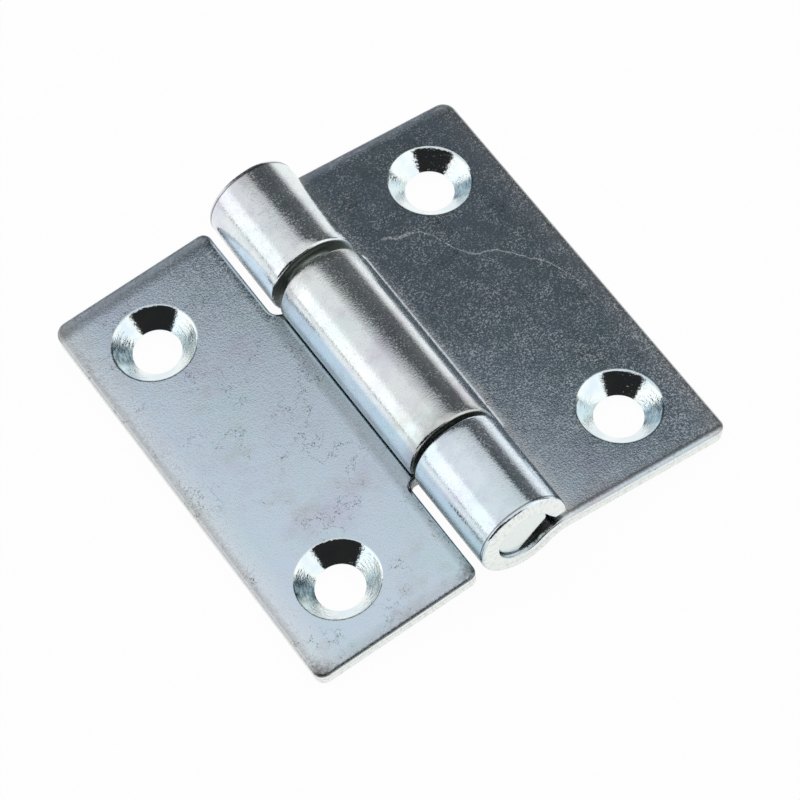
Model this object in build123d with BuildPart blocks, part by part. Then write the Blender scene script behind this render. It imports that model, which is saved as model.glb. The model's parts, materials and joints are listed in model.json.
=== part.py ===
import os
from math import asin, atan2, cos, degrees, hypot, sin

from build123d import *

os.makedirs("parts", exist_ok=True)

# Loose pin butt hinge, lying open on its back. Sizes in millimetres and degrees.
# The pin runs along Y through the origin, and the leaf with two knuckles is towards +X.

# Leaves, each one punched and rolled piece of sheet steel
leaf_length = 50.0  # along the pin
leaf_reach = 24.8  # from the pin axis to a leaf's outer edge
sheet = 2.0  # thickness of the steel
face_drop = 1.0  # from the pin axis down to the leaves' faces
corner_radius = 1.5  # outer corners, seen from above
inner_corner_radius = 1.0  # corners beside the end knuckles
face_chamfer = 0.4  # drawn-in edge that the punch leaves along the face side
back_chamfer = 0.25  # broken edge along the underside and the barrel's rims

# Barrel
pin_diameter = 6.0
pin_clearance = 0.05  # all round, between the pin and the rolled bore
pin_recess = 0.5  # from each end of the barrel to the pin's end
pin_rounding = 0.8  # at the pin's ends
end_knuckle = 12.2  # length of each end knuckle
far_gap = 1.15  # between the middle knuckle and the one towards +Y
near_gap = 0.45  # between the middle knuckle and the one towards -Y
curl_rise = 2.0  # angle from the leaf's plane up to the cut end of the curl

# Notches in which the other leaf's knuckles turn
notch_gap = 0.7  # between a knuckle and the notch's edge
notch_corner = 0.6
bend_flat = 0.2  # flat sheet between a notch's edge and the bend

# Screw holes
hole_diameter = 5.2
countersink_diameter = 8.9
countersink_angle = 90.0
hole_inset = 7.6  # from a leaf's outer edge to the holes' centres
hole_margin = 8.0  # from a leaf's ends to the holes' centres

# The curl: the sheet dips from the leaf, passes under the pin and rolls over it
bore_radius = pin_diameter / 2 + pin_clearance
barrel_radius = bore_radius + sheet
under_drop = face_drop + sheet
notch_reach = barrel_radius + notch_gap
bend_reach = notch_reach - bend_flat
bend_radius = (bend_reach**2 - barrel_radius**2 + under_drop**2) / (2 * (barrel_radius - under_drop))
bend_centre = (bend_reach, -under_drop - bend_radius)
bend_angle = degrees(atan2(-bend_centre[1], bend_reach))

# The screw holes' places
hole_radius = hole_diameter / 2
sink_radius = countersink_diameter / 2
hole_reach = leaf_reach - hole_inset  # from the pin axis
hole_pitch = leaf_length - 2 * hole_margin  # along the pin

# Knuckle ends along the pin
half_length = leaf_length / 2
knuckle_end = half_length - end_knuckle
middle_far = knuckle_end - far_gap
middle_near = near_gap - knuckle_end
beyond = barrel_radius + sheet  # past all that the curl reaches
notch_fillet = min(notch_corner, 0.9 * notch_gap)  # stays clear of the barrel
bend_line = bend_reach + bend_flat / 2  # the face's own edges lie outside this

# On its back the hinge rests on the barrel and on both leaves' outer edges
edge_out = leaf_reach - back_chamfer
slope = asin(barrel_radius / hypot(edge_out, under_drop)) - atan2(under_drop, edge_out)

# Each leaf's section across the pin, and the plane of its face with Y along the pin
right_up = Vector(sin(slope), 0, cos(slope))
right_out = Vector(cos(slope), 0, -sin(slope))
right_section = Plane(origin=(0, 0, 0), x_dir=right_out, z_dir=(0, -1, 0))
right_face = Plane(origin=right_up * -face_drop, x_dir=right_out, z_dir=right_up)
right_axis = Axis((0, 0, 0), right_up)
left_up = Vector(-sin(slope), 0, cos(slope))
left_out = Vector(-cos(slope), 0, -sin(slope))
left_section = Plane(origin=(0, 0, 0), x_dir=left_out, z_dir=(0, 1, 0))
left_face = Plane(origin=left_up * -face_drop, x_dir=left_out * -1, z_dir=left_up)
left_axis = Axis((0, 0, 0), left_up)

# Section of the rolled sheet, from the leaf's edge round the pin and back to the face
with BuildSketch() as rolled_section:
    with BuildLine():
        underside = Line((leaf_reach, -under_drop), (bend_reach, -under_drop))
        CenterArc(bend_centre, bend_radius, 90, 90 - bend_angle)
        outside = CenterArc((0, 0), barrel_radius, -bend_angle, bend_angle + curl_rise - 360)
        bore = CenterArc((0, 0), bore_radius, curl_rise, 360 - curl_rise - bend_angle)
        CenterArc(bend_centre, bend_radius + sheet, 180 - bend_angle, bend_angle - 90)
        face_line = Line((bend_reach, -face_drop), (leaf_reach, -face_drop))
        Line(outside @ 1, bore @ 0)
        Line(face_line @ 1, underside @ 0)
    make_face()


# Edges of a leaf: those of its flat, the barrel's rims, and the inner edge of the curl's cut end
def past_bend(face):
    return lambda edge: abs(face.to_local_coords(edge.center()).X) > bend_line


def on_barrel(edge):
    return abs(edge.radius - barrel_radius) < 1e-4


def on_lip(section):
    lip = section.from_local_coords(bore @ 0)
    return lambda edge: hypot(edge.center().X - lip.X, edge.center().Z - lip.Z) < 1e-4


# Leaf with the two end knuckles: its blank has one notch between them
with BuildPart() as right_leaf:
    with BuildSketch(right_section):
        add(rolled_section.sketch)
    extrude(amount=half_length, both=True)
    with BuildSketch(right_face):
        with Locations(((leaf_reach - beyond) / 2, 0)):
            Rectangle(leaf_reach + beyond, leaf_length)
        with Locations(((notch_reach - beyond) / 2, 0)):
            Rectangle(notch_reach + beyond, 2 * knuckle_end, mode=Mode.SUBTRACT)
        columns = vertices().group_by(Axis.X)
        fillet(columns[-1], corner_radius)
        fillet(columns[1], notch_fillet)
    extrude(amount=2 * beyond, both=True, mode=Mode.INTERSECT)
    # The punch's drawn-in edge runs round the face and on along the inside of the curl
    face = faces().filter_by(right_face).sort_by(right_axis)[-1]
    lip = edges().filter_by(Axis.Y).filter_by(on_lip(right_section))
    chamfer(face.edges().filter_by(past_bend(right_face)) + lip, face_chamfer)
    # The back's broken edge runs round the underside and on along the barrel's rims
    back = faces().filter_by(right_face).sort_by(right_axis)[0]
    rims = edges().filter_by(GeomType.CIRCLE).filter_by(on_barrel)
    chamfer(back.edges().filter_by(past_bend(right_face)) + rims, back_chamfer)
    with Locations(right_face):
        with Locations((hole_reach, 0)):
            with GridLocations(0, hole_pitch, 1, 2):
                CounterSinkHole(hole_radius, sink_radius, counter_sink_angle=countersink_angle)

# Leaf with the middle knuckle: its blank is notched at both ends
with BuildPart() as left_leaf:
    with BuildSketch(left_section):
        add(rolled_section.sketch)
    extrude(amount=half_length, both=True)
    with BuildSketch(left_face):
        with Locations(((notch_reach + leaf_reach) / -2, 0)):
            Rectangle(leaf_reach - notch_reach, leaf_length)
        with Locations(((beyond - notch_reach) / 2, (middle_far + middle_near) / 2)):
            Rectangle(beyond + notch_reach, middle_far - middle_near)
        columns = vertices().group_by(Axis.X)
        fillet(columns[0], corner_radius)
        inner = columns[1].sort_by(Axis.Y)
        fillet([inner[0], inner[-1]], inner_corner_radius)
        fillet(inner[1:-1], notch_fillet)
    extrude(amount=2 * beyond, both=True, mode=Mode.INTERSECT)
    face = faces().filter_by(left_face).sort_by(left_axis)[-1]
    lip = edges().filter_by(Axis.Y).filter_by(on_lip(left_section))
    chamfer(face.edges().filter_by(past_bend(left_face)) + lip, face_chamfer)
    back = faces().filter_by(left_face).sort_by(left_axis)[0]
    rims = edges().filter_by(GeomType.CIRCLE).filter_by(on_barrel)
    chamfer(back.edges().filter_by(past_bend(left_face)) + rims, back_chamfer)
    with Locations(left_face):
        with Locations((-hole_reach, 0)):
            with GridLocations(0, hole_pitch, 1, 2):
                CounterSinkHole(hole_radius, sink_radius, counter_sink_angle=countersink_angle)

# Plain headless pin, drawn out of the barrel by hand
with BuildPart() as pin:
    with BuildSketch(Plane.XZ):
        Circle(pin_diameter / 2)
    extrude(amount=half_length - pin_recess, both=True)
    fillet(edges().filter_by(GeomType.CIRCLE), pin_rounding)

right_leaf.part.label = "leaf_two_knuckle"
left_leaf.part.label = "leaf_one_knuckle"
pin.part.label = "hinge_pin"
export_step(right_leaf.part, "parts/leaf_two_knuckle.step")
export_step(left_leaf.part, "parts/leaf_one_knuckle.step")
export_step(pin.part, "parts/hinge_pin.step")
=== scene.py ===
import json
from math import asin, atan2, ceil, cos, pi, radians, sin

import bmesh
import bpy
import numpy as np
from mathutils import Matrix, Quaternion, Vector, noise
from mathutils.geometry import delaunay_2d_cdt


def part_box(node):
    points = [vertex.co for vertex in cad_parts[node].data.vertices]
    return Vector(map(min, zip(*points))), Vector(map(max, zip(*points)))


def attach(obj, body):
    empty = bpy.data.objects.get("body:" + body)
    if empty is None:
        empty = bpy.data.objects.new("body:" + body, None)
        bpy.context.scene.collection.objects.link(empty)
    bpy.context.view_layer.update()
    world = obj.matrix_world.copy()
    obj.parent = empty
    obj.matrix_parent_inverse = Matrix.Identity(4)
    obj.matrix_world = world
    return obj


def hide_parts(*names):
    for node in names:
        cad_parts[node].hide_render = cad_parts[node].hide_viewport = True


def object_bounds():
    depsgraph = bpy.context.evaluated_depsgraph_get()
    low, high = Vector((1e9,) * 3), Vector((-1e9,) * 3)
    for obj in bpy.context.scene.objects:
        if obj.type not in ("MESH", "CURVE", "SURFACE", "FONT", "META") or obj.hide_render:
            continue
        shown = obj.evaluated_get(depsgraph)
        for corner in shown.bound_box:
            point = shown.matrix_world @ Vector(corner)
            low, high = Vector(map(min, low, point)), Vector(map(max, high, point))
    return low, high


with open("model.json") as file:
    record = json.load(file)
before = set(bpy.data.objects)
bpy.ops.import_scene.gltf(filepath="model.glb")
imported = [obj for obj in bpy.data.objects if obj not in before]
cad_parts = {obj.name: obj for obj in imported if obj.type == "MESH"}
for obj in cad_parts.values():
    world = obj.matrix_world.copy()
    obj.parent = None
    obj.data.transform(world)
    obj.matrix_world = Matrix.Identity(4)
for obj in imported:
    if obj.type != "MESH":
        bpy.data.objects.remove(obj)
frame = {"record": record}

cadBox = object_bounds()
mm = 0.001  # Blender works in metres here, the sizes below are in millimetres
print("frame loaded")


def linear(hexColour):  # sRGB hex to linear RGBA
    parts = [int(hexColour[i:i + 2], 16) / 255 for i in (1, 3, 5)]
    return [p / 12.92 if p <= 0.04045 else ((p + 0.055) / 1.055) ** 2.4 for p in parts] + [1.0]


def addNode(tree, kind, inputs=(), out=0, **settings):  # gives back one output, or all of them for out=None
    other = kind.startswith(("GeometryNode", "FunctionNode", "NodeGroup"))
    node = tree.nodes.new(kind if other else f"ShaderNode{kind}")  # shader nodes go by their short names
    for name, value in settings.items():
        setattr(node, name, value)
    for key, value in dict(inputs).items():
        if isinstance(value, bpy.types.NodeSocket):
            tree.links.new(value, node.inputs[key])
        else:
            node.inputs[key].default_value = value
    return node.outputs if out is None else node.outputs[out]


def newMaterial(name):
    material = bpy.data.materials.new(name)
    material.use_nodes = True
    material.node_tree.nodes.clear()
    return material, material.node_tree


def endMetal(tree, ground, layers, roughness, bump=None):  # a layer is a share and a colour
    tint = linear(ground)
    for share, colour in layers:
        tint = addNode(tree, "Mix", {0: share, 6: tint, 7: linear(colour)}, out=2, data_type="RGBA")
    surface = {"Base Color": tint, "Metallic": 1.0, "Roughness": roughness}
    if bump:
        surface["Normal"] = bump
    shader = addNode(tree, "BsdfPrincipled", surface)
    addNode(tree, "OutputMaterial", {"Surface": shader}, out=None)


def nearAngle(tree, angle, at, wide, soft, most, **settings):  # a band of angles with soft edges
    apart = addNode(tree, "Math", {0: angle, 1: radians(at)}, operation="SUBTRACT")
    apart = addNode(tree, "Math", {0: apart, 1: pi, 2: -pi}, operation="WRAP")
    apart = addNode(tree, "Math", {0: apart}, operation="ABSOLUTE")
    start, stop = radians(wide - soft), radians(wide + soft)
    return addNode(tree, "MapRange", {0: apart, 1: start, 2: stop, 3: most, 4: 0.0}, **settings)


def addObject(name, mesh):
    obj = bpy.data.objects.new(name, mesh)
    bpy.context.scene.collection.objects.link(obj)
    return obj


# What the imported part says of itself
screws = next(m for m in frame["record"]["mounts"] if m["name"] == "two_knuckle_screws")
slope = asin(screws["axis"][0])  # each leaf leans down to the table
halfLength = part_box("leaf_two_knuckle")[1].y / mm
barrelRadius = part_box("leaf_two_knuckle")[1].z / mm
holeReach = Vector(screws["pos_m"]).dot((cos(slope), 0, -sin(slope))) / mm  # pin axis to hole, along the leaf
holeAcross = screws["dims"]["pcd_mm"] / 2
holeRadius = screws["dims"]["hole_r_mm"]

# Sheet that both leaves are punched and rolled from
sheet = {
    "thick": 2.0,
    "reach": 24.8,  # pin axis to outer edge
    "faceDrop": 1.0,  # pin axis down to the face
    "bendReach": 5.55,  # where the flat ends and the bend begins
    "notchReach": 5.75,
    "curlRise": 2.0,  # degrees, the cut end of the curl above the leaf's plane
    "middleRise": -7.0,  # the middle knuckle is rolled further shut
    "endKnuckle": 12.8,  # inner ends of the two end knuckles
    "middleFar": 11.65,
    "middleNear": -12.35,
    "corner": 1.5,
    "nearCorner": 1.1,
    "innerCorner": 1.0,
    "notchCorner": 0.6,
    "rootNear": 1.0,  # corners at the root of the middle knuckle
    "rootFar": 1.4,
    "tipCorner": 0.35,
    "sinkRadius": 4.45,
    "sinkDepth": 1.85,
}
# What the punch leaves along every edge: drawn in on the face side, sheared, then torn
edgeForm = {
    "rollWide": 0.5,
    "rollDeep": 0.4,
    "rollSteps": 7,
    "curlShare": 0.3,  # the roll is only this large along the knuckles' ends
    "curlFade": 2.0,  # and shrinks over this length
    "tipWide": 2.0,  # it is larger across the cut end of the curl
    "tipDeep": 0.75,
    "shearEnd": 0.85,
    "tearSet": 0.05,  # how far the torn part stands back
    "tearSteps": (0.12, 0.45),  # below the sheared band
    "tearRough": 0.035,
    "tearScale": 2.2,
    "tearLevel": 4.0,  # where the noise is cut
    "backRound": 0.32,
    "backSteps": 3,
}
meshForm = {
    "flatStep": 0.85,
    "curlStep": 0.3,
    "acrossStep": 0.85,
    "edgeStep": 0.42,
    "cornerSteps": 8,
    "leastCorner": 0.06,
    "holeSteps": 96,
    "sinkRings": 10,
    "rimRings": (0.18, 0.06),  # round the rims of the holes
    "rimDrop": 0.02,
    "edgeClear": 0.2,  # the grid stays clear of edges and holes
    "holeClear": 0.3,
    "merge": 1e-7,
    "sliver": 1e-5,  # twice the area of the least triangle that is kept
    "waveHeight": 0.012,  # the flat isn't quite flat
    "waveLength": 14.0,
    "waveFade": 4.0,  # from the edges and the bend
    "sharp": 38,  # degrees
}
seedStep = Vector((7.1, 3.3, 0))  # keeps the noise of the two blanks apart

boreRadius = barrelRadius - sheet["thick"]
underDrop = sheet["faceDrop"] + sheet["thick"]
bendRadius = (sheet["bendReach"] ** 2 - barrelRadius ** 2 + underDrop ** 2) / (2 * (barrelRadius - underDrop))
bendAngle = atan2(underDrop + bendRadius, sheet["bendReach"])
flatLength = sheet["reach"] - sheet["bendReach"]
bendLength = (pi / 2 - bendAngle) * (bendRadius + sheet["thick"] / 2)
notchAlong = sheet["reach"] - sheet["notchReach"]
holeAlong = sheet["reach"] - holeReach


# A blank lies flat: along from the outer edge, across along the pin, height above the face
def blankLength(kind):  # from the outer edge to the cut end of the curl
    rise = sheet["curlRise"] if kind == "two" else sheet["middleRise"]
    return flatLength + bendLength + (2 * pi - bendAngle - radians(rise)) * (boreRadius + sheet["thick"] / 2)


def blankCorners(kind):
    half, knuckle, end = halfLength, sheet["endKnuckle"], blankLength(kind)
    near, far = sheet["middleNear"], sheet["middleFar"]
    corner, inner, notch, tip = (sheet[k] for k in ("corner", "innerCorner", "notchCorner", "tipCorner"))
    first = (0, -half, sheet["nearCorner"])
    rootNear, rootFar = sheet["rootNear"], sheet["rootFar"]
    if kind == "two":
        return [first, (end, -half, tip), (end, -knuckle, tip), (notchAlong, -knuckle, notch),
                (notchAlong, knuckle, notch), (end, knuckle, tip), (end, half, tip), (0, half, corner)]
    return [first, (notchAlong, -half, inner), (notchAlong, near, rootNear), (end, near, tip),
            (end, far, tip), (notchAlong, far, rootFar), (notchAlong, half, inner), (0, half, corner)]


def outlineLoop(corners, inset):  # outline moved in by inset, with as many points for any inset
    arcs = []
    count = len(corners)
    for i, (x, y, radius) in enumerate(corners):
        here = Vector((x, y))
        before = (here - Vector(corners[i - 1][:2])).normalized()
        after = (Vector(corners[(i + 1) % count][:2]) - here).normalized()
        inwards = Vector((-before.y, before.x)) + Vector((-after.y, after.x))
        convex = before.cross(after) > 0
        arcRadius = max(radius - inset, meshForm["leastCorner"]) if convex else radius + inset
        centre = here + inwards * (inset + (arcRadius if convex else -arcRadius))
        turns = [pi / 2 * k / meshForm["cornerSteps"] for k in range(meshForm["cornerSteps"] + 1)]
        arcs.append([centre + arcRadius * (before * sin(t) - after * cos(t)) for t in turns])
    loop = []
    for i, arc in enumerate(arcs):
        x, y, _ = corners[i]
        nextX, nextY, _ = corners[(i + 1) % count]
        steps = ceil((abs(nextX - x) + abs(nextY - y)) / meshForm["edgeStep"])
        loop += arc + [arc[-1].lerp(arcs[(i + 1) % count][0], k / steps) for k in range(1, steps)]
    return loop


def circleLoop(centre, radius):
    turns = [2 * pi * k / meshForm["holeSteps"] for k in range(meshForm["holeSteps"])]
    return [Vector((centre[0] + radius * cos(t), centre[1] + radius * sin(t))) for t in turns]


def insideLoop(points, loop):  # even-odd rule
    p = np.array(points)
    inside = np.zeros(len(p), bool)
    for a, b in zip(loop, loop[1:] + loop[:1]):
        if a[1] != b[1]:
            crosses = (a[1] > p[:, 1]) != (b[1] > p[:, 1])
            inside ^= crosses & (p[:, 0] < (b[0] - a[0]) * (p[:, 1] - a[1]) / (b[1] - a[1]) + a[0])
    return inside


def gridPoints(corners, inset, holeEdge):
    along = list(np.arange(0, flatLength, meshForm["flatStep"]))
    along += list(np.arange(flatLength, max(corners)[0], meshForm["curlStep"]))
    across = np.arange(-halfLength, halfLength, meshForm["acrossStep"])
    points = np.array([(a, c) for a in along for c in across])
    keep = insideLoop(points, outlineLoop(corners, inset + meshForm["edgeClear"]))
    fromHole = np.hypot(points[:, 0] - holeAlong, np.abs(points[:, 1]) - holeAcross)
    keep &= fromHole > holeEdge + meshForm["holeClear"]
    return [tuple(p) for p in points[keep]]


class Blank:  # points and faces of one flat blank, with a finish number for each face
    def __init__(self):
        self.verts, self.faces, self.finish = [], [], []

    def addLoop(self, loop, heights):
        first = len(self.verts)
        self.verts += [(point[0], point[1], height) for point, height in zip(loop, heights)]
        return list(range(first, len(self.verts)))

    def bridge(self, a, b, finish):
        self.faces += [(a[i - 1], a[i], b[i], b[i - 1]) for i in range(len(a))]
        self.finish += [finish] * len(a)

    def fill(self, outer, holes, inner):
        loops = [outer] + holes
        ids = [v for loop in loops for v in loop]
        ids += self.addLoop(inner, [self.verts[outer[0]][2]] * len(inner))
        points = [Vector(self.verts[v][:2]) for v in ids]
        edges, start = [], 0
        for loop in loops:
            edges += [(start + k, start + (k + 1) % len(loop)) for k in range(len(loop))]
            start += len(loop)
        result = delaunay_2d_cdt(points, edges, [], 0, meshForm["merge"], True)
        triangles = [[result[3][v][0] for v in face] for face in result[2]]
        middles = [sum((points[v] for v in t), Vector((0, 0))) / 3 for t in triangles]
        keep = insideLoop(middles, [self.verts[v] for v in outer])
        doubles = [abs((points[b] - points[a]).cross(points[c] - points[a])) for a, b, c in triangles]
        keep &= np.array(doubles) > meshForm["sliver"]
        for hole in holes:
            keep &= ~insideLoop(middles, [self.verts[v] for v in hole])
        kept = [tuple(ids[v] for v in t) for t, k in zip(triangles, keep) if k]
        self.faces += kept
        self.finish += [0] * len(kept)


def punchBlank(kind, seed):
    corners, blank, form, thick = blankCorners(kind), Blank(), edgeForm, sheet["thick"]
    end = blankLength(kind)
    shift = seedStep * seed
    rings = []  # inset, height, finish of the band that follows
    for k in range(form["rollSteps"] + 1):
        turn = pi / 2 * k / form["rollSteps"]
        rings.append((form["rollWide"] * (1 - sin(turn)), -form["rollDeep"] * (1 - cos(turn)),
                      int(k == form["rollSteps"])))
    rings.append((0.0, -form["shearEnd"], 1))
    rings += [(form["tearSet"], -form["shearEnd"] - step, 1) for step in form["tearSteps"]]
    for k in range(form["backSteps"] + 1):
        turn = pi / 2 * k / form["backSteps"]
        rings.append((form["tearSet"] + form["backRound"] * (1 - cos(turn)),
                      -thick + form["backRound"] * (1 - sin(turn)), int(k == 0)))
    loops = []
    for inset, height, finish in rings:
        loop = outlineLoop(corners, inset)
        rolled = -height <= form["rollDeep"] + 0.01
        rough = form["tearRough"] if finish and not rolled else 0.0
        spots = [Vector((*p, form["tearLevel"])) * form["tearScale"] + shift for p in loop]
        heights = [height + rough * noise.noise(spot) for spot in spots]
        if rolled:
            narrow = outlineLoop(corners, inset * form["curlShare"])
            curl = [min(1, max(0, (p.x - notchAlong) / form["curlFade"])) for p in narrow]
            loop = [first.lerp(second, share) for first, second, share in zip(loop, narrow, curl)]
            heights = [h * (1 - share * (1 - form["curlShare"])) for h, share in zip(heights, curl)]
        loops.append(blank.addLoop(loop, heights))
    for upper, lower, ring in zip(loops, loops[1:], rings):
        blank.bridge(upper, lower, ring[2])
    faceHoles, backHoles = [], []
    rim, depth, count = sheet["sinkRadius"], sheet["sinkDepth"], meshForm["sinkRings"]
    wide, close = meshForm["rimRings"]
    drop = meshForm["rimDrop"]
    for centre in ((holeAlong, -holeAcross), (holeAlong, holeAcross)):
        sink = [(rim + wide, 0.0), (rim + close, 0.0), (rim, -drop)]
        for k in range(1, count + 1):
            sink.append((rim - k / count * (rim - holeRadius), -drop - k / count * (depth - drop)))
        sink += [(holeRadius, -thick + close), (holeRadius + close, -thick), (holeRadius + wide, -thick)]
        sinkLoops = [blank.addLoop(circleLoop(centre, r), [h] * meshForm["holeSteps"]) for r, h in sink]
        for k, (upper, lower) in enumerate(zip(sinkLoops, sinkLoops[1:])):
            blank.bridge(upper, lower, 0 if k in (0, len(sink) - 2) else 2)
        faceHoles.append(sinkLoops[0])
        backHoles.append(sinkLoops[-1])
    blank.fill(loops[0], faceHoles, gridPoints(corners, rings[0][0], rim))
    blank.fill(loops[-1], backHoles, gridPoints(corners, rings[-1][0], holeRadius))
    mesh = bpy.data.meshes.new(f"blank_{kind}")
    verts, fade = [], meshForm["waveFade"]
    for x, y, z in blank.verts:  # a slow wave through the whole thickness, and the thin tip of the curl
        calm = min(1, max(0, (flatLength - x) / fade), x / fade, (halfLength - abs(y)) / fade)
        wave = noise.noise(Vector((x, y, 0)) / meshForm["waveLength"] + shift)
        tip = max(0, 1 - (end - x) / form["tipWide"]) ** 2 * (1 + z / thick)
        verts.append((x, y, z + meshForm["waveHeight"] * calm * wave - form["tipDeep"] * tip))
    mesh.from_pydata(verts, [], blank.faces)
    mesh.attributes.new("finish", "INT", "FACE").data.foreach_set("value", blank.finish)
    print(f"punched blank {kind}: {len(verts)} points, {len(blank.faces)} faces")
    return mesh


# Rolling a blank round the pin: one Geometry Nodes tree for both leaves. The outside isn't quite round at the
# crown and at a second place, the far knuckle's crown on one leaf and near the curl's end on the other
rollSizes = {
    "Side": 1.0, "Slope": slope, "Reach": sheet["reach"], "Face Drop": sheet["faceDrop"],
    "Thickness": sheet["thick"], "Flat Length": flatLength, "Bend Length": bendLength,
    "Bend Radius": bendRadius, "Bend Reach": sheet["bendReach"], "Bend Angle": bendAngle,
    "Bore Radius": boreRadius,
    "Crown At": radians(222), "Crown Width": 0.3, "Crown Lean": 0.26,
    "Second At": radians(210), "Second Width": 0.17, "Second Lean": 0.0, "Second From": 0.0,
}
rollSums = [  # result, operation, terms
    ("half", "MULTIPLY", "Thickness", 0.5),
    ("flatOut", "SUBTRACT", "Reach", "along"),  # the flat leaf
    ("flatUp", "SUBTRACT", "height", "Face Drop"),
    ("pastFlat", "SUBTRACT", "along", "Flat Length"),  # the bend down towards the barrel's underside
    ("bendMiddle", "ADD", "Bend Radius", "half"),
    ("bendTurn", "DIVIDE", "pastFlat", "bendMiddle"),
    ("bendTop", "ADD", "Bend Radius", "Thickness"),
    ("bendArm", "ADD", "bendTop", "height"),
    ("bendSine", "SINE", "bendTurn"),
    ("bendCosine", "COSINE", "bendTurn"),
    ("bendIn", "MULTIPLY", "bendArm", "bendSine"),
    ("bendOut", "SUBTRACT", "Bend Reach", "bendIn"),
    ("bendDrop", "ADD", "bendTop", "Face Drop"),
    ("bendUp", "MULTIPLY_ADD", "bendArm", "bendCosine", "-bendDrop"),
    ("pastBend", "SUBTRACT", "pastFlat", "Bend Length"),  # the curl under and over the pin
    ("curlMiddle", "ADD", "Bore Radius", "half"),
    ("curlTurn", "DIVIDE", "pastBend", "curlMiddle"),
    ("curlAngle", "SUBTRACT", "-Bend Angle", "curlTurn"),
    ("crownPast", "SUBTRACT", "curlTurn", "Crown At"),  # the roller leaves the crown a little flat
    ("crownShare", "DIVIDE", "crownPast", "Crown Width"),
    ("crownSquare", "MULTIPLY", "crownShare", "crownShare"),
    ("crownFade", "EXPONENT", "-crownSquare"),
    ("crownRise", "MULTIPLY", "crownPast", "crownFade"),
    ("roundArm", "SUBTRACT", "Bore Radius", "height"),
    ("outside", "DIVIDE", "height", "-Thickness"),  # the bore stays round
    ("crownPush", "MULTIPLY", "crownRise", "Crown Lean"),
    ("leanArm", "MULTIPLY_ADD", "crownPush", "outside", "roundArm"),
    ("secondPast", "SUBTRACT", "curlTurn", "Second At"),  # again at a second place
    ("secondShare", "DIVIDE", "secondPast", "Second Width"),
    ("secondSquare", "MULTIPLY", "secondShare", "secondShare"),
    ("secondFade", "EXPONENT", "-secondSquare"),
    ("secondRise", "MULTIPLY", "secondPast", "secondFade"),
    ("onSecond", "GREATER_THAN", "across", "Second From"),
    ("secondLean", "MULTIPLY", "onSecond", "Second Lean"),
    ("secondPush", "MULTIPLY", "secondRise", "secondLean"),
    ("curlArm", "MULTIPLY_ADD", "secondPush", "outside", "leanArm"),
    ("curlCosine", "COSINE", "curlAngle"),
    ("curlSine", "SINE", "curlAngle"),
    ("curlOut", "MULTIPLY", "curlArm", "curlCosine"),
    ("curlUp", "MULTIPLY", "curlArm", "curlSine"),
    ("inBend", "GREATER_THAN", "pastFlat", 0.0),
    ("inCurl", "GREATER_THAN", "pastBend", 0.0),
    ("out", "CHOOSE", "inCurl", "inBend", "flatOut", "bendOut", "curlOut"),
    ("up", "CHOOSE", "inCurl", "inBend", "flatUp", "bendUp", "curlUp"),
    ("slopeCosine", "COSINE", "Slope"),  # leaning on the table
    ("slopeSine", "SINE", "Slope"),
    ("outLevel", "MULTIPLY", "out", "slopeCosine"),
    ("x", "MULTIPLY_ADD", "up", "slopeSine", "outLevel"),
    ("sideX", "MULTIPLY", "x", "Side"),
    ("outDown", "MULTIPLY", "out", "slopeSine"),
    ("z", "MULTIPLY_ADD", "up", "slopeCosine", "-outDown"),
]


def rollTree(materials):
    tree = bpy.data.node_groups.new("rollSheet", "GeometryNodeTree")
    tree.interface.new_socket("Geometry", in_out="INPUT", socket_type="NodeSocketGeometry")
    for name, value in rollSizes.items():
        tree.interface.new_socket(name, in_out="INPUT", socket_type="NodeSocketFloat").default_value = value
    tree.interface.new_socket("Geometry", in_out="OUTPUT", socket_type="NodeSocketGeometry")
    given = addNode(tree, "NodeGroupInput", out=None)
    place = addNode(tree, "GeometryNodeInputPosition")
    split = addNode(tree, "SeparateXYZ", {0: place}, out=None)
    known = {name: given[name] for name in rollSizes}
    known.update(along=split[0], across=split[1], height=split[2])
    for result, operation, *terms in rollSums:
        for term in terms:
            if isinstance(term, str) and term not in known:  # a leading minus
                known[term] = addNode(tree, "Math", {0: known[term[1:]], 1: -1.0}, operation="MULTIPLY")
        values = [known[t] if isinstance(t, str) else t for t in terms]
        if operation == "CHOOSE":
            inCurl, inBend, flat, bend, curl = values
            near = addNode(tree, "GeometryNodeSwitch", {0: inBend, 1: flat, 2: bend}, input_type="FLOAT")
            known[result] = addNode(tree, "GeometryNodeSwitch", {0: inCurl, 1: near, 2: curl},
                                    input_type="FLOAT")
        else:
            known[result] = addNode(tree, "Math", enumerate(values), operation=operation)
    rolled = addNode(tree, "CombineXYZ", {0: known["sideX"], 1: known["across"], 2: known["z"]})
    shape = given["Geometry"]
    for name, kind, value in (("sheetPlace", "FLOAT_VECTOR", place), ("side", "FLOAT", given["Side"])):
        shape = addNode(tree, "GeometryNodeStoreNamedAttribute", {"Geometry": shape, "Name": name,
                        "Value": value}, data_type=kind, domain="POINT")  # read by the materials
    shape = addNode(tree, "GeometryNodeSetPosition", {"Geometry": shape, "Position": rolled})
    shape = addNode(tree, "GeometryNodeRealizeInstances", {"Geometry": shape})
    finish = addNode(tree, "GeometryNodeInputNamedAttribute", {"Name": "finish"}, data_type="INT")
    for number, material in enumerate(materials):
        picked = addNode(tree, "FunctionNodeCompare", {2: finish, 3: number}, data_type="INT",
                         operation="GREATER_EQUAL")
        shape = addNode(tree, "GeometryNodeSetMaterial", {"Geometry": shape, "Selection": picked,
                        "Material": material})
    addNode(tree, "NodeGroupOutput", {"Geometry": shape}, out=None)
    return tree


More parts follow.
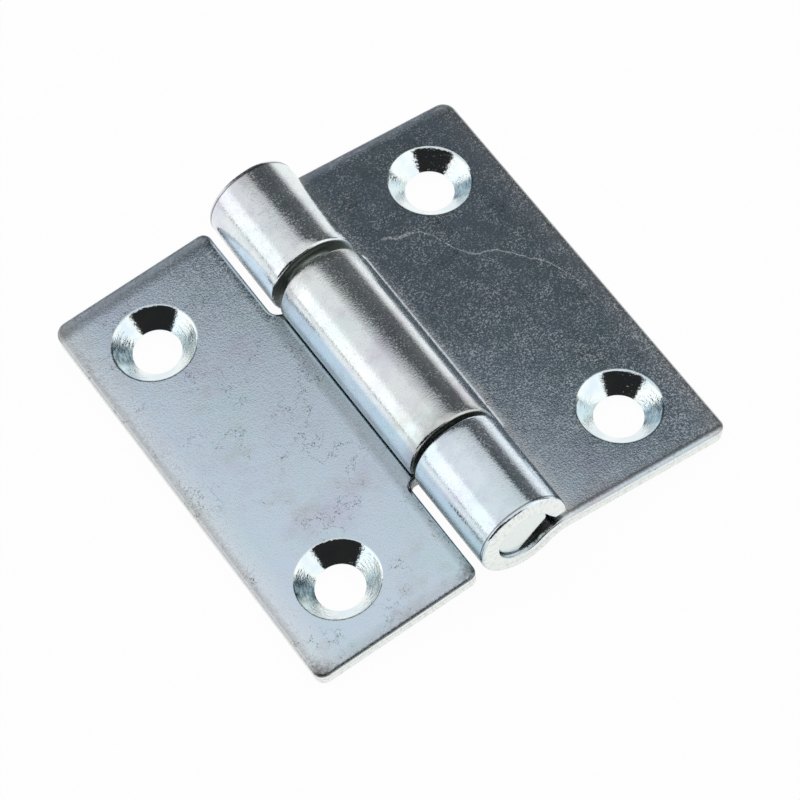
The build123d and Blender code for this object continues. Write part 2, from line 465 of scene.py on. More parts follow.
def plainMesh(obj, sharp):  # the evaluated shape as a mesh of its own, in metres and facing outwards
    mesh = bpy.data.meshes.new_from_object(obj.evaluated_get(bpy.context.evaluated_depsgraph_get()))
    mesh.name = obj.name
    work = bmesh.new()
    work.from_mesh(mesh)
    bmesh.ops.recalc_face_normals(work, faces=work.faces)
    work.to_mesh(mesh)
    work.free()
    mesh.transform(Matrix.Scale(mm, 4))
    mesh.shade_smooth()
    mesh.set_sharp_from_angle(angle=radians(sharp))
    return mesh


def finishPiece(obj, node, sharp):
    mesh = plainMesh(obj, sharp)
    obj.modifiers.clear()
    obj.data = mesh
    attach(obj, node)
    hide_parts(node)
    print(f"{obj.name}: {len(mesh.polygons)} faces, {', '.join(m.name for m in mesh.materials)}")


def rollLeaf(kind, node, tree, seed, sizes):
    obj = addObject(f"{node}_plated", punchBlank(kind, seed))
    modifier = obj.modifiers.new("roll", "NODES")
    modifier.node_group = tree
    values = dict(rollSizes, **sizes)
    for item in tree.interface.items_tree:
        if item.in_out == "INPUT" and item.name in values:
            modifier[item.identifier] = float(values[item.name])
    finishPiece(obj, node, meshForm["sharp"])


leafShift = (37, 11, 5)  # mm, keeps the two leaves' patterns apart


def sheetPlaces(tree):  # place on the flat blank, side of the pin, and a place apart for each leaf's patterns
    place = addNode(tree, "Attribute", out="Vector", attribute_name="sheetPlace")
    side = addNode(tree, "Attribute", out="Fac", attribute_name="side")
    own = addNode(tree, "VectorMath", {0: side, 1: leafShift, 2: place}, operation="MULTIPLY_ADD")
    return place, side, own


# Bright zinc plate on rolled sheet: mirror-like but broken up by the steel's fine sandy grain, faintly blue,
# with thin stains and dark hair cracks, dull along the outer edge and worn brown at the rims. Lengths in mm
plateLook = {
    "leaf": "#CEDFEF", "knuckle": "#EBF1F2", "nearKnuckle": "#E6F2FB", "paintedBarrelShade": "#CDD8DD",
    "bright": "#F4F8FA", "shade": "#3E4A4A", "worn": "#8A7C6B", "dirt": "#35322E",
    "grain": 0.19,  # the steel's own grain
    "grainHeight": 0.012,
    "specks": (0.48, 0.66),  # where in the grain they begin and are full
    "crowd": 2.2222,  # patches with more specks and with fewer
    "crowdShare": (0.36, 0.64, 0.45, 1.35),
    "smoothAt": 1.5,  # past the end of the flat, where the bend has stretched the grain away
    "smoothWide": (1.4, 1.9),
    "peel": 1.3,  # longer waves of the plating
    "peelHeight": 0.004,
    "ragged": 0.45455,  # how the edges of marks wander
    "paintedBarrelShadeFrom": (radians(-32), radians(-28)),  # painted shade, down the barrel's left side: where it begins and is full, 0 is level
    "tintPatches": [  # colour, size, shift of the pattern, where in it they begin, how much
        ("#BFE2E0", 6.5, 11.0, 0.5, 0.4), ("#C3BBDA", 6.5, 23.0, 0.52, 0.45),
        ("#A8947C", 6.5, 37.0, 0.56, 0.4)],
    "mottle": ("#C3BBDA", 1.5, 51.0, 0.5, 0.25),  # the same, on the knuckles alone
    "crack": 2.6,  # between the fine dark lines
    "crackWide": (0.002, 0.007, 1.0, 0.0),
    "crackPatch": 5.0,
    "crackShare": (0.5, 0.6, 0.0, 0.85),
    "crackOnKnuckle": 0.3,
    "dull": (0.5, 3.2, 0.5, 0.0),  # from the outer edge: full to, none from, and how much there
    "notchDull": (flatLength - 1.6, flatLength - 0.1, 0.0, 0.8),
    "barrelShade": (flatLength - 1.5, flatLength - 0.8, 0.0, 0.33),
    "rubbed": (0.35, 1.5, 1.0, 0.0),  # from the far edge
    "wornEdge": (1.6, 1.1, 1.8, 0.45),  # marks: how far they wander, full to, none from, how much
    "wornEnd": (1.4, 0.9, 2.4, 0.3),
    "wornCorner": (4.0, 2.6, 6.0, 0.6),
    "wornGap": (4.0, 2.2, 4.2, 0.4),
    "nearDirt": (0.7, 0.1, 0.35, 0.65),
    "farDirt": (1.2, 0.2, 0.9, 0.4),
    "cornerDirt": (7.0, 3.4, 6.6, 0.85),
    "nearDirtAt": (0.0, 0.52),  # from the near edge, on the leaf with one and with two knuckles
    "farDirtAt": 1.4,  # from the far edge, on the leaf with one knuckle
    "rimDirt": (0.0, 0.03, 0.14, 0.75),
    "rimDirtAt": 0.5,  # from the barrel's ends
    "scratch": [(0.9, -14.0), (1.2, -11.6), (1.7, -5.3), (2.9, 0.1), (4.8, 2.8), (6.8, 5.2), (9.6, 6.7),
                (10.7, 8.7), (11.7, 10.9), (14.1, 12.0), (16.6, 12.9)],  # one long mark, on the leaf with two
    "scratchWander": 1.2,
    "scratchWide": (0.05, 0.2, 0.7, 0.0),
    "scratchFade": 0.6,
    "scratchBroken": (0.3, 0.52, 0.15, 1.0),
    "roughness": 0.11,
    "speckRoughness": 0.4,
    "speckShare": 0.5,
}


def zincPlate():
    material, tree = newMaterial("bright_zinc_plated_sheet")
    look = plateLook
    place, side, own = sheetPlaces(tree)
    along, across, height = addNode(tree, "SeparateXYZ", {0: place}, out=None)
    onKnuckle = addNode(tree, "MapRange", {0: along, 1: flatLength - 0.5, 2: flatLength + 3.0})
    onLeaf = addNode(tree, "Math", {0: 1.0, 1: onKnuckle}, operation="SUBTRACT")
    oneKnuckle = addNode(tree, "Math", {0: side, 1: -1.0}, operation="MULTIPLY", use_clamp=True)
    grain = addNode(tree, "TexNoise", {"Vector": own, "Scale": 1 / look["grain"], "Detail": 2.0,
                    "Roughness": 0.6})
    specks = addNode(tree, "MapRange", enumerate((grain, *look["specks"])))
    crowd = addNode(tree, "TexNoise", {"Vector": own, "Scale": 1 / look["crowd"], "Detail": 4.0,
                    "Roughness": 0.65})
    crowd = addNode(tree, "MapRange", enumerate((crowd, *look["crowdShare"])))
    inBend = addNode(tree, "Math", {0: along, 1: flatLength + look["smoothAt"]}, operation="SUBTRACT")
    inBend = addNode(tree, "Math", {0: inBend}, operation="ABSOLUTE")
    grainy = addNode(tree, "MapRange", enumerate((inBend, *look["smoothWide"])))
    for mask in (crowd, grainy):
        specks = addNode(tree, "Math", {0: specks, 1: mask}, operation="MULTIPLY")
    peel = addNode(tree, "TexNoise", {"Vector": own, "Scale": 1 / look["peel"], "Detail": 3.0})
    ragged = addNode(tree, "TexNoise", {"Vector": own, "Scale": 1 / look["ragged"], "Detail": 5.0,
                     "Roughness": 0.75})
    # the nearest knuckle has its own tint, and painted shade makes the barrel darker and bluer down its left
    # side
    nearest = addNode(tree, "Math", {0: across, 1: sheet["middleNear"]}, operation="LESS_THAN")
    nearest = addNode(tree, "Math", {0: nearest, 1: onKnuckle}, operation="MULTIPLY")
    spot = addNode(tree, "SeparateXYZ", {0: addNode(tree, "TexCoord", out="Object")}, out=None)
    down = addNode(tree, "Math", {0: spot[2], 1: -1.0}, operation="MULTIPLY")
    left = addNode(tree, "Math", {0: spot[0], 1: -1.0}, operation="MULTIPLY")
    turned = addNode(tree, "Math", {0: down, 1: left}, operation="ARCTAN2")
    paintedBarrelShade = addNode(tree, "MapRange", enumerate((turned, *look["paintedBarrelShadeFrom"])))
    nearer = addNode(tree, "Math", {0: across, 1: sheet["middleFar"] + 0.3}, operation="LESS_THAN")
    for mask in (onKnuckle, nearer):
        paintedBarrelShade = addNode(tree, "Math", {0: paintedBarrelShade, 1: mask}, operation="MULTIPLY")
    layers = [(onKnuckle, look["knuckle"]), (nearest, look["nearKnuckle"]), (paintedBarrelShade, look["paintedBarrelShade"])]
    tintPatches = [(tintPatch, 1.0) for tintPatch in look["tintPatches"]] + [(look["mottle"], onKnuckle)]
    for (colour, size, shift, low, most), where in tintPatches:
        apart = addNode(tree, "VectorMath", {0: own, 1: (shift, shift, 0)}, operation="ADD")
        cloud = addNode(tree, "TexNoise", {"Vector": apart, "Scale": 1 / size, "Detail": 5.0,
                        "Roughness": 0.62})
        cloud = addNode(tree, "MapRange", {0: cloud, 1: low, 2: low + 0.2, 3: 0.0, 4: most})
        layers.append((addNode(tree, "Math", {0: cloud, 1: where}, operation="MULTIPLY"), colour))
    # fine dark lines in patches, where the plating has cracked over dirt
    webs = addNode(tree, "TexNoise", {"Vector": own, "Scale": 1 / look["crack"], "Detail": 4.0,
                   "Roughness": 0.7})
    webs = addNode(tree, "Math", {0: webs, 1: 0.5}, operation="SUBTRACT")
    webs = addNode(tree, "Math", {0: webs}, operation="ABSOLUTE")
    dirt = addNode(tree, "MapRange", enumerate((webs, *look["crackWide"])))
    patch = addNode(tree, "TexNoise", {"Vector": own, "Scale": 1 / look["crackPatch"], "Detail": 2.0})
    patch = addNode(tree, "MapRange", enumerate((patch, *look["crackShare"])))
    few = addNode(tree, "MapRange", {0: onKnuckle, 3: 1.0, 4: look["crackOnKnuckle"]})
    for mask in (patch, few):
        dirt = addNode(tree, "Math", {0: dirt, 1: mask}, operation="MULTIPLY")
    # dull strips along the outer edge and, on the leaf with two knuckles, along the notch
    dull = addNode(tree, "MapRange", enumerate((along, *look["dull"])))
    inner = addNode(tree, "MapRange", enumerate((along, *look["notchDull"])))
    inner = addNode(tree, "Math", {0: inner, 1: side}, operation="MULTIPLY", use_clamp=True)
    inner = addNode(tree, "Math", {0: inner, 1: onLeaf}, operation="MULTIPLY")
    dull = addNode(tree, "Math", {0: dull, 1: inner}, operation="MAXIMUM")
    # painted shade: a dark strip beside the barrel on the leaf with one knuckle
    shade = addNode(tree, "MapRange", enumerate((along, *look["barrelShade"])))
    for mask in (oneKnuckle, onLeaf):
        shade = addNode(tree, "Math", {0: shade, 1: mask}, operation="MULTIPLY")
    # ways to the leaf's ends, outer corners and near corners, and to the middle knuckle's gaps
    toEnd = addNode(tree, "Math", {0: across}, operation="ABSOLUTE")
    toEnd = addNode(tree, "Math", {0: halfLength, 1: toEnd}, operation="SUBTRACT")
    toCorner = addNode(tree, "Math", {0: along, 1: toEnd}, operation="ADD")
    toInner = addNode(tree, "Math", {0: notchAlong, 1: along}, operation="SUBTRACT")
    toInner = addNode(tree, "Math", {0: toInner, 1: toEnd}, operation="ADD")
    toEither = addNode(tree, "Math", {0: toCorner, 1: toInner}, operation="MINIMUM")
    far, near = sheet["middleFar"], sheet["middleNear"]
    fromMiddle = addNode(tree, "Math", {0: across, 1: (far + near) / 2}, operation="SUBTRACT")
    fromMiddle = addNode(tree, "Math", {0: fromMiddle}, operation="ABSOLUTE")
    toGap = addNode(tree, "Math", {0: (far - near) / 2, 1: fromMiddle}, operation="SUBTRACT")
    # the far edge is rubbed dull
    isFar = addNode(tree, "Math", {0: across, 1: 0.0}, operation="GREATER_THAN")
    isFar = addNode(tree, "Math", {0: isFar, 1: onLeaf}, operation="MULTIPLY")
    isNear = addNode(tree, "Math", {0: onLeaf, 1: isFar}, operation="SUBTRACT")
    rubbed = addNode(tree, "MapRange", enumerate((toEnd, *look["rubbed"])))
    rubbed = addNode(tree, "Math", {0: rubbed, 1: isFar}, operation="MULTIPLY")
    # worn rims, and dirt in lines along the ends, in the near corners and round the barrel's ends
    nearAt = addNode(tree, "MapRange", {0: side, 1: -1.0, 3: look["nearDirtAt"][0], 4: look["nearDirtAt"][1]})
    uneven = addNode(tree, "Math", {0: ragged, 1: 0.5}, operation="SUBTRACT")
    found = {"worn": 0.0, "dirt": dirt}
    for kind, name, wander, way, lineAt, masks in (
            ("worn", "wornEdge", ragged, along, 0.0, [onLeaf]),
            ("worn", "wornEnd", ragged, toEnd, 0.0, [onLeaf]),
            ("worn", "wornCorner", ragged, toCorner, 0.0, [onLeaf]),
            ("worn", "wornGap", ragged, toGap, 0.0, [oneKnuckle, onKnuckle]),
            ("dirt", "nearDirt", uneven, toEnd, nearAt, [isNear]),
            ("dirt", "farDirt", uneven, toEnd, look["farDirtAt"], [isFar, oneKnuckle]),
            ("dirt", "cornerDirt", ragged, toEither, 0.0, [isNear, oneKnuckle]),
            ("dirt", "rimDirt", uneven, toEnd, look["rimDirtAt"], [onKnuckle])):
        reach, low, high, most = look[name]
        mark = addNode(tree, "Math", {0: wander, 1: reach, 2: way}, operation="MULTIPLY_ADD")
        mark = addNode(tree, "Math", {0: mark, 1: lineAt}, operation="SUBTRACT")
        mark = addNode(tree, "Math", {0: mark}, operation="ABSOLUTE")
        mark = addNode(tree, "MapRange", {0: mark, 1: low, 2: high, 3: most, 4: 0.0})
        for mask in masks:
            mark = addNode(tree, "Math", {0: mark, 1: mask}, operation="MULTIPLY")
        found[kind] = addNode(tree, "Math", {0: mark, 1: found[kind]}, operation="MAXIMUM")
    worn, dirt = found["worn"], found["dirt"]
    # the long scratch: its place across the leaf is a curve of the place along it
    curve = addNode(tree, "Math", {0: along, 1: flatLength}, operation="DIVIDE")
    curve = addNode(tree, "FloatCurve", {"Value": curve})
    points = curve.node.mapping.curves[0].points
    bends = [(a / flatLength, c / halfLength / 2 + 0.5) for a, c in look["scratch"]]
    points[0].location, points[-1].location = (0.0, bends[0][1]), (1.0, bends[-1][1])
    for bend in bends:
        points.new(*bend)
    curve.node.mapping.update()
    aside = addNode(tree, "MapRange", {0: curve, 3: -halfLength, 4: halfLength})
    aside = addNode(tree, "Math", {0: peel, 1: look["scratchWander"], 2: aside}, operation="MULTIPLY_ADD")
    aside = addNode(tree, "Math", {0: across, 1: aside}, operation="SUBTRACT")
    aside = addNode(tree, "Math", {0: aside}, operation="ABSOLUTE")
    scratched = addNode(tree, "MapRange", enumerate((aside, *look["scratchWide"])))
    broken = addNode(tree, "MapRange", enumerate((ragged, *look["scratchBroken"])))
    start, stop, fade = look["scratch"][0][0], look["scratch"][-1][0], look["scratchFade"]
    begins = addNode(tree, "MapRange", {0: along, 1: start, 2: start + fade})
    ends = addNode(tree, "MapRange", {0: along, 1: stop - fade, 2: stop, 3: 1.0, 4: 0.0})
    onFace = addNode(tree, "Math", {0: height, 1: -0.5}, operation="GREATER_THAN")
    for mask in (broken, begins, ends, onFace, side):
        scratched = addNode(tree, "Math", {0: scratched, 1: mask}, operation="MULTIPLY", use_clamp=True)
    clean = addNode(tree, "Math", {0: 1.0, 1: dirt}, operation="SUBTRACT")
    specks = addNode(tree, "Math", {0: specks, 1: clean}, operation="MULTIPLY")
    bright = addNode(tree, "Math", {0: specks, 1: look["speckShare"], 2: scratched}, operation="MULTIPLY_ADD",
                     use_clamp=True)
    layers += [(dull, look["bright"]), (shade, look["shade"]), (worn, look["worn"]), (dirt, look["dirt"]),
               (bright, look["bright"])]
    roughness = addNode(tree, "MapRange", {0: specks, 3: look["roughness"], 4: look["speckRoughness"]})
    for mark, more in ((worn, 0.2), (dull, 0.12), (rubbed, 0.35), (scratched, 0.4), (dirt, 0.1)):
        roughness = addNode(tree, "Math", {0: mark, 1: more, 2: roughness}, operation="MULTIPLY_ADD")
    bump = addNode(tree, "Bump", {"Distance": look["peelHeight"] * mm, "Height": peel})
    bump = addNode(tree, "Bump", {"Distance": look["grainHeight"] * mm, "Height": grain, "Normal": bump})
    endMetal(tree, look["leaf"], layers, roughness, bump)
    return material


# Sheared edge under the same zinc: nearly white and dull, with marks straight through the sheet, and painted
# shade on the knuckle ends that face each other, for the dark gaps between the knuckles. Lengths in mm
shearLook = {"dark": "#D8DCD8", "light": "#F4F9F6", "gapShade": "#9A9F9A", "mark": 0.25, "markLong": 3,
             "markHeight": 0.008, "tears": (0.3, 0.5), "roughness": 0.36,
             "inEnds": 2, "gapShaded": (notchAlong + 2.5, notchAlong + 4.0, 0.0, 0.92)}


def shearedEdge():
    material, tree = newMaterial("sheared_zinc_plated_edge")
    place = addNode(tree, "Attribute", out="Vector", attribute_name="sheetPlace")
    along, across, _ = addNode(tree, "SeparateXYZ", {0: place}, out=None)
    fine = 1 / shearLook["mark"]
    lines = addNode(tree, "Mapping", {"Vector": place, "Scale": (fine, fine, fine / shearLook["markLong"])})
    tears = addNode(tree, "TexNoise", {"Vector": lines, "Scale": 1.0, "Detail": 4.0})
    shade = addNode(tree, "MapRange", enumerate((tears, *shearLook["tears"])))
    inside = addNode(tree, "Math", {0: across}, operation="ABSOLUTE")
    inside = addNode(tree, "Math", {0: inside, 1: halfLength - shearLook["inEnds"]}, operation="LESS_THAN")
    # painted shade on the knuckle ends that face each other, clear of the barrel's outer ends
    gapShaded = addNode(tree, "MapRange", enumerate((along, *shearLook["gapShaded"])))
    gapShaded = addNode(tree, "Math", {0: inside, 1: gapShaded}, operation="MULTIPLY")
    layers = [(shade, shearLook["light"]), (gapShaded, shearLook["gapShade"])]
    bump = addNode(tree, "Bump", {"Distance": shearLook["markHeight"] * mm, "Height": tears})
    endMetal(tree, shearLook["dark"], layers, shearLook["roughness"], bump)
    return material


# Turned countersink: brighter than the sheet, with broken rings from the cutter and a hint of blue and green,
# and a painted reflection on one side. Lengths in mm
sinkLook = {
    "blue": "#DCEBF2", "green": "#F2F8F5", "spot": 2.0, "spotShare": (0.35, 0.65), "ring": 0.2, "around": 0.6,
    "ringHeight": 0.03, "streaks": (0.3, 0.6, 0.3, 1.0), "roughness": 0.08,
    "tintPatches": [  # painted reflections: leaf, colour, degrees round the countersink: where it faces, half width and soft edge
        {"leaf": 1.0, "colour": "#9DB6C6", "facing": 136, "wide": 19, "soft": 4},
        {"leaf": -1.0, "colour": "#6E868F", "facing": -24, "wide": 20, "soft": 8},
    ],
}


def turnedSink():
    material, tree = newMaterial("turned_zinc_plated_countersink")
    _, side, own = sheetPlaces(tree)
    spots = addNode(tree, "TexNoise", {"Vector": own, "Scale": 1 / sinkLook["spot"], "Detail": 3.0})
    spots = addNode(tree, "MapRange", enumerate((spots, *sinkLook["spotShare"])))
    far = 1 / sinkLook["around"]
    around = addNode(tree, "Mapping", {"Vector": own, "Scale": (far, far, 1 / sinkLook["ring"])})
    rings = addNode(tree, "TexNoise", {"Vector": around, "Scale": 1.0, "Detail": 2.0, "Roughness": 0.6})
    layers = [(spots, sinkLook["green"])]
    facing = addNode(tree, "TexCoord", out="Normal")
    facing = addNode(tree, "SeparateXYZ", {0: facing}, out=None)
    facing = addNode(tree, "Math", {0: facing[1], 1: facing[0]}, operation="ARCTAN2")
    streaks = addNode(tree, "MapRange", enumerate((rings, *sinkLook["streaks"])))
    # painted reflections: a darker, bluer patch by which way the countersink faces, in broken streaks
    for tintPatch in sinkLook["tintPatches"]:
        share = nearAngle(tree, facing, tintPatch["facing"], tintPatch["wide"], tintPatch["soft"], streaks)
        onLeaf = addNode(tree, "Math", {0: side, 1: tintPatch["leaf"], 2: 0.1}, operation="COMPARE")
        layers.append((addNode(tree, "Math", {0: share, 1: onLeaf}, operation="MULTIPLY"), tintPatch["colour"]))
    bump = addNode(tree, "Bump", {"Distance": sinkLook["ringHeight"] * mm, "Height": rings})
    endMetal(tree, sinkLook["blue"], layers, sinkLook["roughness"], bump)
    return material


leafTree = rollTree([zincPlate(), shearedEdge(), turnedSink()])
rollLeaf("two", "leaf_two_knuckle", leafTree, 1, {"Side": 1.0, "Crown Lean": 0.4, "Second Lean": 0.38})
rollLeaf("one", "leaf_one_knuckle", leafTree, 2, {"Side": -1.0, "Second At": radians(275),
         "Second Width": 0.35, "Second Lean": -0.4, "Second From": -halfLength})

# Pin: cropped from drawn wire, so each end is nearly flat and falls away where the crop broke through
pinForm = {"rounding": 0.3, "roundSteps": 6, "endRings": 16, "endLength": 3.0, "turnSteps": 120,
           "bodySteps": 24, "cropAt": 1.9, "cropTurn": -50, "cropFall": 2.2, "cropSoft": 0.08,
           "tornFrom": 1.95, "sharp": 35}
# Drawn wire: fine scores along it, plated with the same zinc. Lengths in mm
wireLook = {"dark": "#DEE8E6", "light": "#F0F6F3", "score": 0.25, "scoreLong": 30, "scoreHeight": 0.006,
            "roughness": 0.2}


def drawnWire():
    material, tree = newMaterial("drawn_zinc_plated_wire")
    place = addNode(tree, "TexCoord", out="Object")
    fine = 1 / (wireLook["score"] * mm)
    lines = addNode(tree, "Mapping", {"Vector": place, "Scale": (fine, fine / wireLook["scoreLong"], fine)})
    scores = addNode(tree, "TexNoise", {"Vector": lines, "Scale": 1.0, "Detail": 3.0})
    bump = addNode(tree, "Bump", {"Distance": wireLook["scoreHeight"] * mm, "Height": scores})
    endMetal(tree, wireLook["dark"], [(scores, wireLook["light"])], wireLook["roughness"], bump)
    return material


# Torn steel where the crop broke through: dull, and painted dark as the shade in the bore's wedge. Lengths in
# mm
tornShadeLook = {"dark": "#2E2E2C", "light": "#6F6E6A", "tear": 0.5, "roughness": 0.42}


def tornSteelPaintedShade():
    material, tree = newMaterial("torn_steel_painted_shade")
    place = addNode(tree, "TexCoord", out="Object")
    tears = addNode(tree, "TexNoise", {"Vector": place, "Scale": 1 / (tornShadeLook["tear"] * mm), "Detail": 4.0})
    endMetal(tree, tornShadeLook["dark"], [(tears, tornShadeLook["light"])], tornShadeLook["roughness"])
    return material


def turnPin():
    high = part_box("hinge_pin")[1] / mm
    radius, end, rounding, form = high.x, high.y, pinForm["rounding"], pinForm
    flat, count = radius - rounding, form["endRings"]
    profile = [(flat * (k + 1) / count, end) for k in range(count)]
    for k in range(1, form["roundSteps"] + 1):
        turn = pi / 2 * k / form["roundSteps"]
        profile.append((flat + rounding * sin(turn), end - rounding * (1 - cos(turn))))
    ends = [(r, -y) for r, y in reversed(profile)]
    body, count = end - form["endLength"], form["bodySteps"]
    profile += [(radius, body * (1 - 2 * k / count)) for k in range(count + 1)] + ends
    steps = form["turnSteps"]
    turns = [2 * pi * k / steps for k in range(steps)]
    crop = radians(form["cropTurn"])
    verts = []
    for r, y in profile + [(0, end), (0, -end)]:
        for t in turns if r else [0]:
            past = r * cos(t - crop) - form["cropAt"]
            past = (past + (past ** 2 + form["cropSoft"] ** 2) ** 0.5) / 2  # a soft start
            fall = form["cropFall"] * past if abs(y) > body else 0
            verts.append((r * cos(t), y - fall if y > 0 else y + fall, r * sin(t)))
    faces = []
    for a in range(len(profile) - 1):
        for k in range(steps):
            j = (k + 1) % steps
            faces.append((a * steps + k, a * steps + j, (a + 1) * steps + j, (a + 1) * steps + k))
    for middle, ring in ((len(verts) - 2, 0), (len(verts) - 1, len(profile) - 1)):
        faces += [(middle, ring * steps + k, ring * steps + (k + 1) % steps) for k in range(steps)]
    mesh = bpy.data.meshes.new("wire")
    mesh.from_pydata(verts, [], faces)
    mesh.materials.append(drawnWire())
    mesh.materials.append(tornSteelPaintedShade())
    for face in mesh.polygons:
        x, y, z = face.center
        face.material_index = int(abs(y) > body and x * cos(crop) + z * sin(crop) > form["tornFrom"])
    finishPiece(addObject("hinge_pin_wire", mesh), "hinge_pin", pinForm["sharp"])


turnPin()

# Studio: a white table, soft panels all round, and a dark flag that hangs over the far side
tableLook = {"half": 3.0, "colour": "#FFFFFF", "shadowShare": 0.04, "shadowReach": 12,
             "contactShadow": (0.02, 0.35, 0.1, 1.0),  # painted shadow: darker close to the part, as the metal sees it
             "endTurn": 152, "endAt": (60, 84), "endTone": 0.7}  # its far end is less lit
flagForm = {
    "height": 150, "far": 900, "tone": 0.095, "colour": "#F0FAFF",
    "edge": [(-240, 333), (-120, 225), (-60, 178), (-25, 152), (-10, 132), (3, 104), (14, 93), (30, 85),
             (50, 76), (70, 68), (84, 58), (98, 40), (130, 10), (220, -20), (400, -40), (520, -60),
             (800, -100)],  # seen from above
    "soft": ((-55, 0.0), (-14, 0.22), (0, 0.4), (12, 1.0)),  # across the edge: place and how much it covers
    "fade": (200, 800),  # and it thins out towards the right
}
studio = {
    "ambient": 0.83,
    "panels": [  # degrees: azimuth from +X, elevation, half sizes, soft edge; brightness
        {"azimuth": 50, "elevation": 2, "wide": 62, "high": 24, "soft": 11, "tone": 0.1},
        {"azimuth": 28, "elevation": -5, "wide": 28, "high": 13, "soft": 12, "tone": 0.94},
        {"azimuth": -4, "elevation": 3, "wide": 12, "high": 4, "soft": 2, "tone": 0.12},
        {"azimuth": 153, "elevation": 16, "wide": 37, "high": 19.5, "soft": 2.5, "tone": 1.21},
        {"azimuth": 152, "elevation": 1.2, "wide": 32, "high": 1.4, "soft": 0.8, "tone": 0.2},
        {"azimuth": 230.5, "elevation": 25, "wide": 52.5, "high": 27, "soft": 3, "tone": 0.02},
        {"azimuth": 316, "elevation": 25, "wide": 30, "high": 30, "soft": 4, "tone": 1.1},
    ],
}
viewpoint = {"aim": (-0.6, -3.6, -2.1), "azimuth": 241.03, "elevation": 58.315, "roll": -5.892,
             "distance": 441.1, "lens": 196.65}


def layTable():
    material, tree = newMaterial("white_table")
    rays = addNode(tree, "LightPath", out=None)
    seen = addNode(tree, "Math", {0: rays["Is Camera Ray"], 1: rays["Is Glossy Ray"]}, operation="MAXIMUM")
    seen = addNode(tree, "Math", {0: seen, 1: rays["Is Transmission Ray"]}, operation="MAXIMUM")
    share = addNode(tree, "Math", {0: seen, 1: 1 - tableLook["shadowShare"]}, operation="MULTIPLY")
    # painted shadow: the white that the metal sees is darker close to the part and towards the far end
    clear = addNode(tree, "AmbientOcclusion", {"Distance": tableLook["shadowReach"] * mm}, out="AO",
                    samples=4)
    clear = addNode(tree, "MapRange", enumerate((clear, *tableLook["contactShadow"])))
    place = addNode(tree, "TexCoord", out="Object")
    turn = radians(tableLook["endTurn"])
    away = addNode(tree, "VectorMath", {0: place, 1: (cos(turn), sin(turn), 0)}, out="Value",
                   operation="DOT_PRODUCT")
    start, stop = tableLook["endAt"]
    lit = addNode(tree, "MapRange", {0: away, 1: start * mm, 2: stop * mm, 3: 1.0, 4: tableLook["endTone"]})
    clear = addNode(tree, "Math", {0: clear, 1: lit}, operation="MULTIPLY")
    clear = addNode(tree, "Mix", {0: rays["Is Glossy Ray"], 2: 1.0, 3: clear})  # the metal alone sees both
    share = addNode(tree, "Math", {0: share, 1: clear}, operation="MULTIPLY")
    matt = addNode(tree, "BsdfDiffuse", {"Color": linear(tableLook["colour"])})
    white = addNode(tree, "Emission", {"Color": linear(tableLook["colour"])})
    shader = addNode(tree, "MixShader", {0: share, 1: matt, 2: white})
    addNode(tree, "OutputMaterial", {"Surface": shader}, out=None)
    half, level = tableLook["half"], cadBox[0].z
    mesh = bpy.data.meshes.new("table")
    corners = [(-half, -half, level), (half, -half, level), (half, half, level), (-half, half, level)]
    mesh.from_pydata(corners, [], [(0, 1, 2, 3)])
    mesh.materials.append(material)
    addObject("table", mesh)


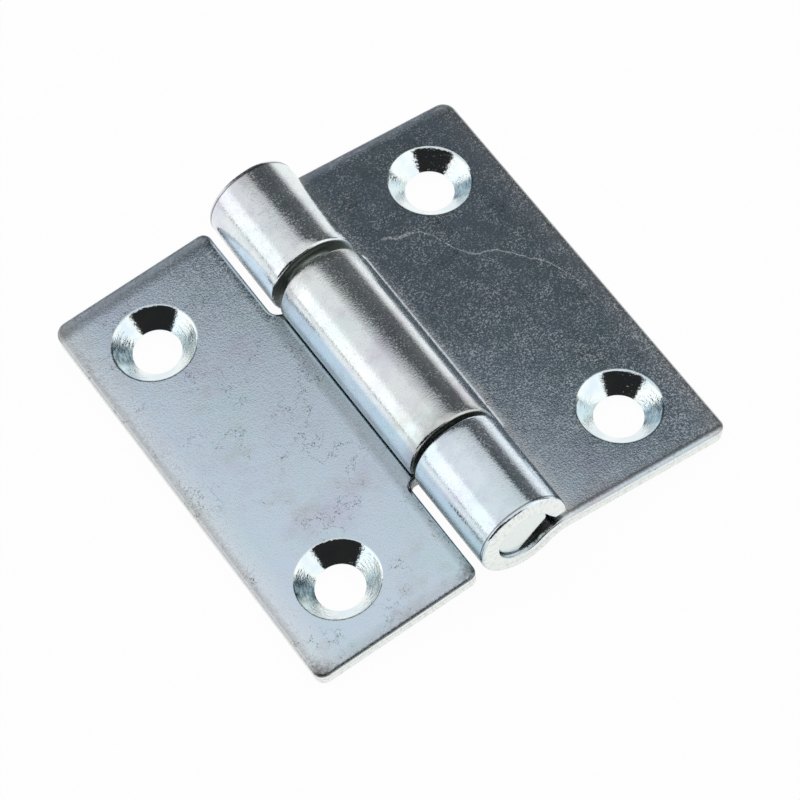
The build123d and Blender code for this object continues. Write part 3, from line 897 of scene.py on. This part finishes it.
def hangFlag():
    material, tree = newMaterial("black_cloth_flag")
    covered = addNode(tree, "Attribute", out="Fac", attribute_name="cover")
    clear = addNode(tree, "BsdfTransparent")
    dark = addNode(tree, "Emission", {"Color": linear(flagForm["colour"]), "Strength": flagForm["tone"]})
    shader = addNode(tree, "MixShader", {0: covered, 1: clear, 2: dark})
    addNode(tree, "OutputMaterial", {"Surface": shader}, out=None)
    edge = flagForm["edge"]
    start, stop = flagForm["fade"]
    rows = [[(x, y + reach, share) for x, y in edge] for reach, share in flagForm["soft"]]
    rows.append([(x, flagForm["far"], 1.0) for x, y in edge])
    verts = [(x * mm, y * mm, flagForm["height"] * mm) for row in rows for x, y, _ in row]
    cover = [share * min(1, max(0, (stop - x) / (stop - start))) for row in rows for x, _, share in row]
    count = len(edge)
    faces = [(r * count + k, r * count + k + 1, (r + 1) * count + k + 1, (r + 1) * count + k)
             for r in range(len(rows) - 1) for k in range(count - 1)]
    mesh = bpy.data.meshes.new("flag")
    mesh.from_pydata(verts, [], faces)
    mesh.attributes.new("cover", "FLOAT", "POINT").data.foreach_set("value", cover)
    mesh.materials.append(material)
    flag = addObject("flag", mesh)
    flag.visible_camera = flag.visible_shadow = flag.visible_diffuse = False


def lightWorld():
    world = bpy.data.worlds.new("studio")
    bpy.context.scene.world = world
    world.use_nodes = True
    tree = world.node_tree
    tree.nodes.clear()
    towards = addNode(tree, "SeparateXYZ", {0: addNode(tree, "TexCoord", out="Generated")}, out=None)
    azimuth = addNode(tree, "Math", {0: towards[1], 1: towards[0]}, operation="ARCTAN2")
    elevation = addNode(tree, "Math", {0: towards[2]}, operation="ARCSINE")
    angles = {"azimuth": azimuth, "elevation": elevation}
    tone = studio["ambient"]
    for panel in studio["panels"]:
        share = 1.0
        for name, size in (("azimuth", "wide"), ("elevation", "high")):
            share = nearAngle(tree, angles[name], panel[name], panel[size], panel["soft"], share,
                              interpolation_type="SMOOTHSTEP")
        tone = addNode(tree, "Mix", {0: share, 2: tone, 3: panel["tone"]})
    seen = addNode(tree, "LightPath", out="Is Camera Ray")
    tone = addNode(tree, "Mix", {0: seen, 2: tone, 3: 1.0})
    shader = addNode(tree, "Background", {"Color": (1, 1, 1, 1), "Strength": tone})
    addNode(tree, "OutputWorld", {"Surface": shader}, out=None)


def placeCamera():
    turn, rise = radians(viewpoint["azimuth"]), radians(viewpoint["elevation"])
    back = Vector((cos(turn) * cos(rise), sin(turn) * cos(rise), sin(rise)))
    camera = addObject("camera", bpy.data.cameras.new("camera"))
    camera.data.lens = viewpoint["lens"]
    camera.data.clip_start = 0.01
    camera.location = (Vector(viewpoint["aim"]) + back * viewpoint["distance"]) * mm
    camera.rotation_mode = "QUATERNION"
    roll = Quaternion((0, 0, 1), radians(viewpoint["roll"]))
    camera.rotation_quaternion = (-back).to_track_quat("-Z", "Y") @ roll
    bpy.context.scene.camera = camera


layTable()
hangFlag()
lightWorld()
placeCamera()
bpy.context.scene.view_settings.view_transform = "Standard"
print("studio set")
